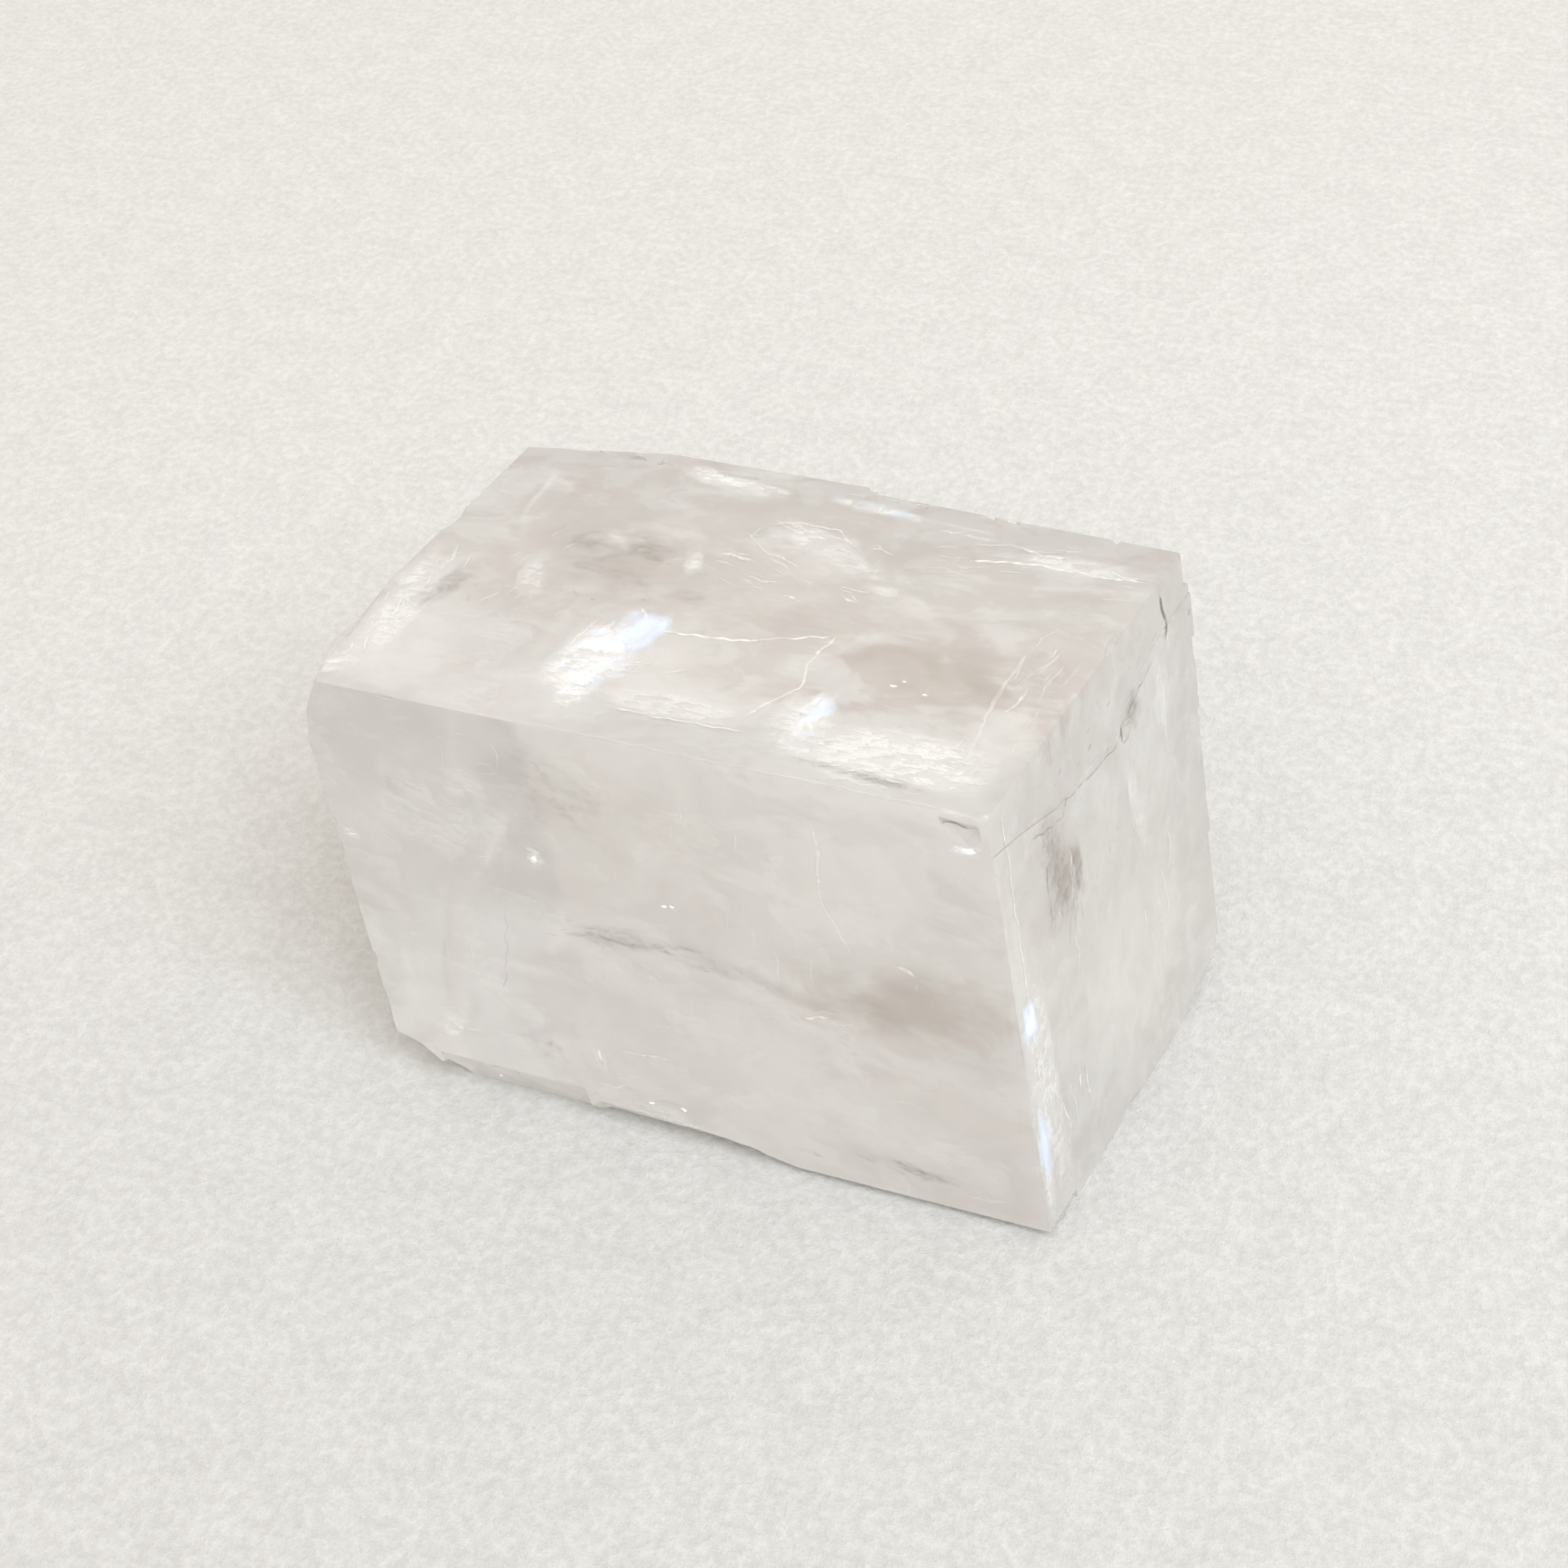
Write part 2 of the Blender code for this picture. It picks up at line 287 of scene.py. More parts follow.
def makeSpotGroup():
    # a soft ragged spot at a place in the lattice, from 0 outside to 1 in its middle
    group, source, sink = makeGroup(
        "calciteSpot",
        [("Place", "NodeSocketVector", (0, 0, 0)), ("Centre", "NodeSocketVector", (0, 0, 0)),
         ("Reach", "NodeSocketVector", (5, 5, 5)), ("Ragged", "NodeSocketFloat", 0.0),
         ("Strength", "NodeSocketFloat", 1.0)],
        [("Mask", "NodeSocketFloat")])
    gap = addNode(group, "ShaderNodeVectorMath", {"operation": "SUBTRACT"})
    link(group, source.outputs["Place"], gap.inputs[0])
    link(group, source.outputs["Centre"], gap.inputs[1])
    share = addNode(group, "ShaderNodeVectorMath", {"operation": "DIVIDE"})
    link(group, gap.outputs[0], share.inputs[0])
    link(group, source.outputs["Reach"], share.inputs[1])
    size = addNode(group, "ShaderNodeVectorMath", {"operation": "LENGTH"})
    link(group, share.outputs[0], size.inputs[0])
    edge = mathNode(group, "ADD", size.outputs["Value"], source.outputs["Ragged"])
    mask = rampNode(group, edge, 1.0, 0.35)
    link(group, mathNode(group, "MULTIPLY", mask, source.outputs["Strength"]), sink.inputs["Mask"])
    return group


def makeSwellGroup():
    # the slight swell and grain of a cleavage face, for a bump height
    group, source, sink = makeGroup(
        "cleavageSwell",
        [("Stretch", "NodeSocketVector", (0.1, 0.1, 0.1)), ("Offset", "NodeSocketVector", (0, 0, 0)),
         ("Grain", "NodeSocketFloat", 0.15)],
        [("Height", "NodeSocketFloat")])
    place = latticePlace(group, source.outputs["Stretch"], source.outputs["Offset"])
    swell = addNode(group, "ShaderNodeTexNoise", {}, {"Scale": 1.0, "Detail": 1.0, "Roughness": 0.45})
    link(group, place, swell.inputs["Vector"])
    grain = addNode(group, "ShaderNodeTexNoise", {}, {"Scale": 5.0, "Detail": 1.0, "Roughness": 0.5})
    link(group, place, grain.inputs["Vector"])
    fine = mathNode(group, "MULTIPLY", grain.outputs["Fac"], source.outputs["Grain"])
    link(group, mathNode(group, "ADD", swell.outputs["Fac"], fine), sink.inputs["Height"])
    return group


def newMaterial(name):
    material = bpy.data.materials.new(name)
    material.use_nodes = True
    tree = material.node_tree
    return material, tree, tree.nodes["Principled BSDF"]


def placeGroup(tree, group, values):
    node = tree.nodes.new("ShaderNodeGroup")
    node.node_tree = group
    for key, value in values.items():
        node.inputs[key].default_value = value
    return node.outputs[0]


# --- the paper that it lies on

paper = {
    "size": 3.0,
    "colour": (0.755, 0.761, 0.754),
    "shade": (0.673, 0.675, 0.665),
    # painted shade for the light falling off: the near side is a touch darker; y in metres, and the tone at
    # each
    "paintedFalloffReach": (-0.09, 0.05),
    "paintedFalloffTone": (0.908, 1.0),
    "roughness": 0.9,
    "mottle": 260.0,        # lumps per metre
    "mottleTone": (0.968, 1.014),
    "felt": 1150.0,
    "fibre": 3800.0,
    "fibreShare": 0.3,
    "bump": 0.0005,         # metres
    "bumpStrength": 0.6,
    "sink": 0.00002,        # how far the sheet lies under the stone, in metres
}


def paperNoise(tree, place, values):
    node = addNode(tree, "ShaderNodeTexNoise", {}, values)
    link(tree, place, node.inputs["Vector"])
    return node.outputs["Fac"]


def makeFloor():
    bm = bmesh.new()
    bmesh.ops.create_grid(bm, x_segments=1, y_segments=1, size=paper["size"] / 2)
    mesh = bpy.data.meshes.new("paperFloor")
    bm.to_mesh(mesh)
    bm.free()
    floor = bpy.data.objects.new("paperFloor", mesh)
    bpy.context.scene.collection.objects.link(floor)
    floor.location.z = -paper["sink"]
    material, tree, shader = newMaterial("paper")
    here = addNode(tree, "ShaderNodeTexCoord").outputs["Object"]
    felt = paperNoise(tree, here, {"Scale": paper["felt"], "Detail": 4.0, "Roughness": 0.62})
    fibre = paperNoise(tree, here, {"Scale": paper["fibre"], "Detail": 3.0, "Distortion": 2.5})
    mottle = paperNoise(tree, here, {"Scale": paper["mottle"], "Detail": 2.0, "Roughness": 0.6})
    shader.inputs["Roughness"].default_value = paper["roughness"]
    tone = mixColour(tree, rampNode(tree, felt, 0.35, 0.7), paper["shade"], paper["colour"])
    axes = addNode(tree, "ShaderNodeSeparateXYZ")
    link(tree, here, axes.inputs[0])
    # painted shade toward the near side, then times the paper's own mottle
    falloffAndMottle = rampNode(tree, axes.outputs["Y"], *paper["paintedFalloffReach"], *paper["paintedFalloffTone"])
    falloffAndMottle = mathNode(tree, "MULTIPLY", falloffAndMottle, rampNode(tree, mottle, 0.3, 0.7, *paper["mottleTone"]))
    grey = addNode(tree, "ShaderNodeCombineColor")
    for socket in grey.inputs:
        link(tree, falloffAndMottle, socket)
    tone = mixColour(tree, 1.0, tone, grey.outputs[0], "MULTIPLY")
    link(tree, tone, shader.inputs["Base Color"])
    bump = addNode(tree, "ShaderNodeBump", {}, {"Strength": paper["bumpStrength"], "Distance": paper["bump"]})
    height = mathNode(tree, "ADD", felt, mathNode(tree, "MULTIPLY", fibre, paper["fibreShare"]))
    link(tree, height, bump.inputs["Height"])
    link(tree, bump.outputs[0], shader.inputs["Normal"])
    mesh.materials.append(material)
    print("paper laid")


# --- the crystal itself

crystal = {
    "transmission": 0.56,
    "ior": 1.6,
    "clear": (0.865, 0.853, 0.848),
    "smokyAndShaded": (0.85, 0.815, 0.79),
    "milkyAndLit": (0.99, 1.0, 1.0),
    "rosy": (1.0, 0.984, 0.975),
    "green": (0.988, 0.988, 0.971),
    # kept under 0.27, where the denoiser starts to draw its own lines between clear and rough
    "roughLow": 0.16,
    "roughHigh": 0.262,
    "absorb": (0.93, 0.9, 0.865),
    "density": 2.0,          # per metre
    "bump": 0.0001,          # metres
    "bumpStrength": 0.25,
    # the noise that tears the rims of the zones, the wide wisps, the angular flakes and the faces' swell
    "tornWisps": {"Stretch": (0.22, 0.4, 0.34), "Offset": (2.0, 8.0, 4.0), "Detail": 3.0, "Curl": 0.5,
                  "Low": 0.15, "High": 0.85},
    "broadWisps": {"Stretch": (0.11, 0.19, 0.16), "Detail": 5.0, "Curl": 0.7, "Low": 0.36, "High": 0.62},
    "flakes": {"Stretch": (0.24, 0.44, 0.35), "Offset": (4.0, 2.0, 9.0), "Share": 0.5, "Warp": 0.7,
               "Streak": 4.0},
    "swell": {"Stretch": (0.1, 0.3, 0.22), "Grain": 0.12},
    "raggedness": 1.6,
    "wispShare": 0.5,
    "flakeShare": 0.45,
    "zoneShare": 0.5,
    # smoky brown zones, partly brown clouding and partly painted shade on the top and front: centre, reach,
    # strength
    "smokeAndShade": [
        ((41.0, 12.0, 33.8), (11.0, 6.5, 4.0), 1.0),
        ((28.0, 15.0, 33.8), (9.0, 4.0, 3.0), 0.45),
        ((43.0, -1.0, 17.2), (10.0, 4.0, 4.6), 0.7),
        ((43.0, 0.0, 9.0), (8.0, 3.0, 3.0), 0.4),
        ((15.0, 18.0, 33.8), (7.0, 4.0, 3.0), 0.8),
        ((50.0, 7.6, 24.6), (4.0, 4.2, 8.0), 0.25),
        ((20.0, 0.0, 28.0), (9.0, 3.0, 5.0), 0.2),
        ((25.0, 19.0, 33.8), (36.0, 15.0, 1.5), 0.6),
        ((9.0, 21.0, 33.8), (9.0, 7.0, 3.0), 0.7),
        ((46.0, 18.0, 33.8), (6.0, 7.0, 3.0), 0.6),
        ((50.0, 14.0, 17.0), (4.0, 8.0, 7.0), 0.35),
    ],
    # milky zones, partly clouding and partly painted light on the front and right faces: centre, reach,
    # strength
    "milkAndLight": [
        # painted reflection: the bright band along the top front edge
        ((43.0, 2.5, 33.8), (12.0, 5.0, 3.0), 1.0),
        ((4.0, 6.0, 33.8), (6.0, 8.0, 3.0), 0.8),
        ((20.0, 8.0, 33.8), (7.0, 6.0, 3.0), 0.9),
        ((50.0, 0.5, 14.0), (3.0, 2.2, 16.0), 0.6),
        ((6.0, 0.0, 6.0), (12.0, 3.0, 10.0), 1.0),
        ((28.0, 0.0, 8.0), (26.0, 3.0, 9.0), 0.6),
        ((38.0, 0.0, 27.0), (10.0, 3.0, 8.0), 1.0),
        ((50.0, 12.0, 8.0), (3.0, 14.0, 12.0), 1.0),
        ((50.0, 20.0, 24.0), (3.0, 9.0, 12.0), 1.0),
    ],
    "chipSeed": 11,
}


def sumMasks(tree, group, spots, place, ragged):
    total = None
    for centre, reach, strength in spots:
        spot = placeGroup(tree, group, {"Centre": centre, "Reach": reach, "Strength": strength})
        link(tree, place, spot.node.inputs["Place"])
        link(tree, ragged, spot.node.inputs["Ragged"])
        total = spot if total is None else mathNode(tree, "MAXIMUM", total, spot)
    return total


def crystalMaterial(wisps, shards, spot, swell):
    material, tree, shader = newMaterial("calcite")
    torn = placeGroup(tree, wisps, crystal["tornWisps"])
    ragged = mathNode(tree, "MULTIPLY", mathNode(tree, "SUBTRACT", torn, 0.5), crystal["raggedness"])
    one = addNode(tree, "ShaderNodeCombineXYZ", {}, {0: 1.0, 1: 1.0, 2: 1.0}).outputs[0]
    none = addNode(tree, "ShaderNodeCombineXYZ").outputs[0]
    place = latticePlace(tree, one, none)
    broad = placeGroup(tree, wisps, crystal["broadWisps"])
    flakes = placeGroup(tree, shards, crystal["flakes"])
    cloud = mathNode(tree, "ADD", mathNode(tree, "MULTIPLY", broad, crystal["wispShare"]),
                     mathNode(tree, "MULTIPLY", flakes, crystal["flakeShare"]))
    # milky clouding, with painted light on the front and right faces and in the band by the top front edge
    milkAndLightZones = sumMasks(tree, spot, crystal["milkAndLight"], place, ragged)
    milkAndLightZones = mathNode(tree, "MULTIPLY", milkAndLightZones, crystal["zoneShare"])
    cloudinessAndLight = mathNode(tree, "ADD", milkAndLightZones, cloud, clamp=True)
    # brown clouding, with painted shade on the top and the front
    smokinessAndShade = sumMasks(tree, spot, crystal["smokeAndShade"], place, ragged)
    tone = mixColour(tree, cloudinessAndLight, crystal["clear"], crystal["milkyAndLit"])
    hue = mixColour(tree, rampNode(tree, torn, 0.3, 0.7), crystal["rosy"], crystal["green"])
    tone = mixColour(tree, 1.0, tone, hue, "MULTIPLY")
    tone = mixColour(tree, smokinessAndShade, tone, crystal["smokyAndShaded"], "MULTIPLY")
    link(tree, tone, shader.inputs["Base Color"])
    roughness = rampNode(tree, cloud, 0.1, 0.8, crystal["roughLow"], crystal["roughHigh"])
    link(tree, roughness, shader.inputs["Roughness"])
    shader.inputs["IOR"].default_value = crystal["ior"]
    shader.inputs["Transmission Weight"].default_value = crystal["transmission"]
    height = placeGroup(tree, swell, crystal["swell"])
    bump = addNode(tree, "ShaderNodeBump", {},
                   {"Strength": crystal["bumpStrength"], "Distance": crystal["bump"]})
    link(tree, height, bump.inputs["Height"])
    link(tree, bump.outputs[0], shader.inputs["Normal"])
    absorb = addNode(tree, "ShaderNodeVolumeAbsorption")
    absorb.inputs["Color"].default_value = (*crystal["absorb"], 1)
    absorb.inputs["Density"].default_value = crystal["density"]
    link(tree, absorb.outputs[0], tree.nodes["Material Output"].inputs["Volume"])
    return material


chips = {
    "reach": (0.08, 0.7),        # mm into the face
    "length": (0.4, 4.5),        # mm along the edge
    "tips": (-0.02, 1.02),       # where the cutter starts and ends, as shares of that length
    "middles": ((0.2, 0.4), (0.6, 0.8)),
    "depth": (0.7, 1.0),         # how much of the reach each middle takes
    "keel": 0.62,                # how far in its point goes, as a share of both bites
    "outside": 0.03,             # mm that the cutter stands out of the stone at its tips
    "back": 0.4,                 # and at its middles
    "ridge": 0.6,                # and along the ridge on its back
    # how many bites each edge has: the axis it follows, then which side of the two others it is on
    "counts": {
        "u": {(0, 0): 8, (0, 1): 5, (1, 0): 14, (1, 1): 20},
        "v": {(0, 0): 10, (0, 1): 9, (1, 0): 10, (1, 1): 12},
        "w": {(0, 0): 10, (0, 1): 9, (1, 0): 4, (1, 1): 10},
    },
}


def shardCutter(bm, axis, sides, start, length, bites, rng):
    # a sliver that lies along an edge and tapers out at both ends, so it leaves a small slanting chip
    others = [k for k in range(3) if k != axis]
    size = lattice["size"]

    def spot(t, first, second):
        place = [0, 0, 0]
        place[axis] = start + t * length
        for k, side, inward in zip(others, sides, (first, second)):
            place[k] = inward if side == 0 else size[k] - inward
        return bm.verts.new(at(*place))

    outside, back, ridge = -chips["outside"], -chips["back"], -chips["ridge"]
    corners = [spot(tip, outside, outside) for tip in chips["tips"]]
    for t in [rng.uniform(*middle) for middle in chips["middles"]]:
        first, second = (bite * rng.uniform(*chips["depth"]) for bite in bites)
        corners += [spot(t, first, back), spot(t, back, second), spot(t, ridge, ridge)]
        lean = rng.uniform(-0.1, 0.1)
        corners.append(spot(t + lean, first * chips["keel"], second * chips["keel"]))
    hull = bmesh.ops.convex_hull(bm, input=corners)
    loose = [g for g in hull["geom_interior"] if isinstance(g, bmesh.types.BMVert)]
    bmesh.ops.delete(bm, geom=loose, context="VERTS")


def mostlySmall(rng, span, power):
    return span[0] + (span[1] - span[0]) * rng.random() ** power


def edgeChips(seed):
    # nibbles along every long edge; where the block is already cut back they fall in the air
    rng = random.Random(seed)
    bm = bmesh.new()
    size = lattice["size"]
    for axis, name in enumerate("uvw"):
        for sides, count in chips["counts"][name].items():
            for _ in range(count):
                length = mostlySmall(rng, chips["length"], 2)
                start = rng.uniform(0, size[axis] - length)
                bites = [mostlySmall(rng, chips["reach"], 3) for _ in sides]
                shardCutter(bm, axis, sides, start, length, bites, rng)
    mesh = bpy.data.meshes.new("edgeChips")
    bm.to_mesh(mesh)
    bm.free()
    return bpy.data.objects.new("edgeChips", mesh)


def makeBody(material):
    bm = bmesh.new()
    bm.from_mesh(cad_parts["calcite_crystal"].data)
    bmesh.ops.remove_doubles(bm, verts=bm.verts, dist=1e-6)
    bmesh.ops.dissolve_limit(bm, angle_limit=math.radians(0.05), verts=bm.verts, edges=bm.edges)
    mesh = bpy.data.meshes.new("crystalBody")
    bm.to_mesh(mesh)
    bm.free()
    body = bpy.data.objects.new("crystalBody", mesh)
    bpy.context.scene.collection.objects.link(body)
    cutter = edgeChips(crystal["chipSeed"])
    bpy.context.scene.collection.objects.link(cutter)
    cut = body.modifiers.new("chips", "BOOLEAN")
    cut.operation = "DIFFERENCE"
    cut.solver = "EXACT"
    cut.use_self = True
    cut.object = cutter
    graph = bpy.context.evaluated_depsgraph_get()
    cutMesh = bpy.data.meshes.new_from_object(body.evaluated_get(graph))
    body.modifiers.clear()
    body.data = cutMesh
    cutMesh.name = "crystalBodyMesh"
    bpy.data.objects.remove(cutter)
    cutMesh.materials.clear()
    cutMesh.materials.append(material)
    cutMesh.shade_flat()
    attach(body, "root")
    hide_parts("calcite_crystal")
    print("body cut:", len(cutMesh.vertices), "points")
    return body


# --- clouds, cracks, stains, and painted highlights and shade, in and on it

films = {
    "lift": 0.02,            # mm above the face that the lowest films mark
    "step": 0.012,           # mm for each film that one lies over
    "thickness": 0.008,
    "margin": 0.3,           # mm round each film that count as taken
    "above": 3.0,            # mm above the face where the search for the skin starts
    "reach": 4.2,            # mm that the search goes down
}
filmsLaid = {"top": [], "front": [], "right": []}


def skinFinder(body):
    # finds the real surface under a place on a face, because ledges and chips lie lower than the face;
    # past the edge of the face there is none
    points = [v.co for v in body.data.vertices]
    tree = BVHTree.FromPolygons(points, [p.vertices for p in body.data.polygons])

    def onSkin(face, a, b, lift):
        first, second, outward = faceAxes[face]
        out = first.cross(second).normalized()
        out = out if out.dot(outward) > 0 else -out
        start = onFace(face, a, b) + out * films["above"] * mm
        hit = tree.ray_cast(start, -out, films["reach"] * mm)[0]
        return None if hit is None else hit + out * lift * mm

    return onSkin


def closedFilm(rows):
    # rows of points and fades become a closed film
    bm = bmesh.new()
    fade = bm.verts.layers.float.new("fade")
    grid = []
    for row in rows:
        line = []
        for point, amount in row:
            vert = None
            if point is not None:
                vert = bm.verts.new(point)
                vert[fade] = amount
            line.append(vert)
        grid.append(line)
    for first, second in zip(grid, grid[1:]):
        for k in range(len(first) - 1):
            corners = (first[k], first[k + 1], second[k + 1], second[k])
            # nothing is drawn past the edge of the face or where it has faded out
            if None not in corners and max(corner[fade] for corner in corners) > 0:
                bm.faces.new(corners)
    bmesh.ops.delete(bm, geom=[v for v in bm.verts if not v.link_faces], context="VERTS")
    bm.normal_update()       # solidify moves points along their normals
    bmesh.ops.solidify(bm, geom=bm.faces[:], thickness=films["thickness"] * mm)
    bmesh.ops.recalc_face_normals(bm, faces=bm.faces)
    mesh = bpy.data.meshes.new("film")
    bm.to_mesh(mesh)
    bm.free()
    return mesh


def finishPiece(name, meshes, material):
    bm = bmesh.new()
    for mesh in meshes:
        bm.from_mesh(mesh)
        bpy.data.meshes.remove(mesh)
    joined = bpy.data.meshes.new(name)
    bm.to_mesh(joined)
    bm.free()
    joined.materials.append(material)
    joined.shade_smooth()
    piece = bpy.data.objects.new(name, joined)
    bpy.context.scene.collection.objects.link(piece)
    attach(piece, "root")
    print(name + ":", len(joined.polygons), "faces")
    return piece


def freeLift(face, points):
    # the lowest level at which no other film lies over this stretch of the face
    low = [min(p[k] for p in points) - films["margin"] for k in range(2)]
    high = [max(p[k] for p in points) + films["margin"] for k in range(2)]
    taken = set()
    for otherLow, otherHigh, otherLevel in filmsLaid[face]:
        if all(low[k] < otherHigh[k] and otherLow[k] < high[k] for k in range(2)):
            taken.add(otherLevel)
    level = min(set(range(len(taken) + 1)) - taken)
    filmsLaid[face].append((low, high, level))
    return films["lift"] + films["step"] * level


patch = {
    "steps": 16,             # faces along each side
    "tear": 0.4,             # how far the rim strays, as a share of its reach
    "tearPace": 2,
    "rim": 0.75,             # the share of its reach over which it fades out
}


def patchRows(onSkin, face, centre, reach, turn, strength, rng):
    # a soft ragged patch that lies on a face and fades out to its rim
    rows = []
    shift = rng.uniform(0, 90)

    def placeOf(s, t):
        return (centre[0] + s * reach[0] * math.cos(turn) - t * reach[1] * math.sin(turn),
                centre[1] + s * reach[0] * math.sin(turn) + t * reach[1] * math.cos(turn))

    lift = freeLift(face, [placeOf(s, t) for s in (-1, 1) for t in (-1, 1)])
    steps, pace = patch["steps"], patch["tearPace"]
    for i in range(steps + 1):
        row = []
        for j in range(steps + 1):
            s, t = 2 * i / steps - 1, 2 * j / steps - 1
            a, b = placeOf(s, t)
            far = math.hypot(s, t) + patch["tear"] * noise.noise(Vector((s * pace, t * pace, shift)))
            fade = min(1, max(0, (1 - far) / patch["rim"]))
            row.append((onSkin(face, a, b, lift), strength * fade * fade * (3 - 2 * fade)))
        rows.append(row)
    return rows


lines = {
    "step": 0.3,             # mm between the points of a line
    "wander": 0.22,          # mm that it strays to either side
    "wanderPace": 0.31,      # how fast it does so from point to point
    "leastWidth": 0.75,      # shares of its width
    "moreWidth": 0.8,
    "widthPace": 0.23,
    "strengthPace": 0.4,
    "taper": 3,              # points over which each end narrows
}


def strokeRows(onSkin, face, points, width, strength, rng):
    # a narrow wandering line along a few points
    shift = rng.uniform(0, 90)
    lift = freeLift(face, points)
    path = []
    for (a0, b0), (a1, b1) in zip(points, points[1:]):
        count = max(2, round(math.hypot(a1 - a0, b1 - b0) / lines["step"]))
        path += [(a0 + (a1 - a0) * k / count, b0 + (b1 - b0) * k / count) for k in range(count)]
    path.append(points[-1])
    sides = [[], [], []]
    for k, (a, b) in enumerate(path):
        ahead = path[min(k + 1, len(path) - 1)]
        back = path[max(k - 1, 0)]
        da, db = ahead[0] - back[0], ahead[1] - back[1]
        size = math.hypot(da, db) or 1
        wander = lines["wander"] * noise.noise(Vector((k * lines["wanderPace"], shift, 0)))
        more = abs(noise.noise(Vector((k * lines["widthPace"], shift, 5))))
        ends = min(1, (k + 0.4) / lines["taper"], (len(path) - 0.6 - k) / lines["taper"])
        half = width / 2 * (lines["leastWidth"] + lines["moreWidth"] * more) * ends
        fade = strength * ends * 0.6 * (1 + noise.noise(Vector((k * lines["strengthPace"], shift, 9))))
        for side, row in zip((-1, 0, 1), sides):
            off = wander + side * half
            spot = onSkin(face, a - db / size * off, b + da / size * off, lift)
            row.append((spot, min(1, max(0, fade))))
    return sides


def fadedCover(tree, grain, most):
    # how much a film covers: its grain, times each point's own fade
    fade = addNode(tree, "ShaderNodeAttribute", {"attribute_name": "fade"}).outputs["Fac"]
    return mathNode(tree, "MULTIPLY", mathNode(tree, "MULTIPLY", grain, fade), most)


def filmMaterial(spec, wisps, shards):
    material, tree, shader = newMaterial(spec["material"])
    grain = placeGroup(tree, wisps, {"Stretch": spec["stretch"], "Offset": (3.0, 9.0, 1.0), "Detail": 3.0,
                                     "Curl": 0.6, "Low": spec["clearBelow"], "High": spec["fullAbove"]})
    if "betweenFlakes" in spec:
        fine = tuple(2.2 * s for s in spec["stretch"])
        flake = placeGroup(tree, shards, {"Stretch": fine, "Share": 0.8, "Warp": 0.7, "Streak": 3.5})
        flake = mathNode(tree, "ADD", flake, spec["betweenFlakes"])
        grain = mathNode(tree, "MULTIPLY", grain, flake, clamp=True)
    link(tree, fadedCover(tree, grain, spec["most"]), shader.inputs["Alpha"])
    tone = mixColour(tree, grain, tuple(c * 0.94 for c in spec["colour"]), spec["colour"])
    link(tree, tone, shader.inputs["Base Color"])
    shader.inputs["Roughness"].default_value = spec["roughness"]
    # painted light: a glow for the glints and sparkles
    if "glow" in spec:
        shader.inputs["Emission Color"].default_value = (*spec["colour"], 1)
        shader.inputs["Emission Strength"].default_value = spec["glow"]
    return material


# milky cloud on the skin, with painted light in the bright band by the top front edge
milkAndLight = {
    "material": "milkyCloudAndLight",
    "colour": (0.95, 0.945, 0.93),
    "stretch": (0.16, 0.32, 0.28),   # lumps per mm along u, v and w
    "clearBelow": 0.25,              # the noise under which there is none
    "fullAbove": 0.5,
    "most": 0.24,                    # the cover where it is thickest
    "roughness": 0.45,
    "seed": 3,
    # face, centre, reach, turn in degrees, strength
    "patches": [
        # painted reflection: the bright band along the top front edge
        ("top", (42.0, 3.4), (9.5, 3.2), -4, 0.75),
        ("top", (20.5, 8.0), (6.2, 4.6), 30, 0.75),
        ("top", (27.0, 5.2), (8.0, 2.4), 0, 0.65),
        ("top", (4.8, 6.5), (5.0, 7.5), 20, 0.6),
        ("top", (26.5, 21.0), (5.2, 2.2), -14, 0.6),
        ("top", (16.5, 28.2), (4.2, 1.2), -10, 0.6),
        ("top", (47.2, 7.0), (2.4, 6.0), 5, 0.5),
        ("front", (4.8, 6.2), (4.4, 4.0), 30, 0.6),
        ("front", (38.6, 26.0), (3.4, 6.0), -6, 0.4),
        ("right", (1.0, 16.0), (1.4, 17.0), 0, 0.6),
        ("right", (16.0, 11.0), (9.0, 8.0), 10, 0.45),
        ("right", (20.0, 24.0), (4.5, 7.0), 12, 0.4),
    ],
}

# smoky patches on the skin, partly brown clouding and partly painted shade, with a painted dark reflection in
# a crack on the right face
smokeAndShade = {
    "material": "smokyCloudAndShade",
    "colour": (0.50, 0.445, 0.395),
    "stretch": (0.16, 0.32, 0.28),
    "clearBelow": 0.3,
    "fullAbove": 0.6,
    "most": 0.2,
    "roughness": 0.45,
    "seed": 5,
    "patches": [
        ("top", (41.0, 12.2), (8.0, 3.8), -6, 0.7),
        ("top", (30.5, 15.4), (7.5, 2.4), 12, 0.4),
        ("top", (14.0, 17.6), (8.0, 5.0), -10, 0.35),
        ("front", (44.4, 17.6), (6.4, 3.6), 4, 0.7),
        ("front", (38.4, 16.6), (6.4, 3.4), 6, 0.7),
        # painted dark reflection in a crack inside the right face
        ("right", (7.8, 24.2), (2.0, 5.2), 8, 0.7),
        ("right", (9.9, 23.4), (0.9, 2.6), 4, 0.7),
    ],
}

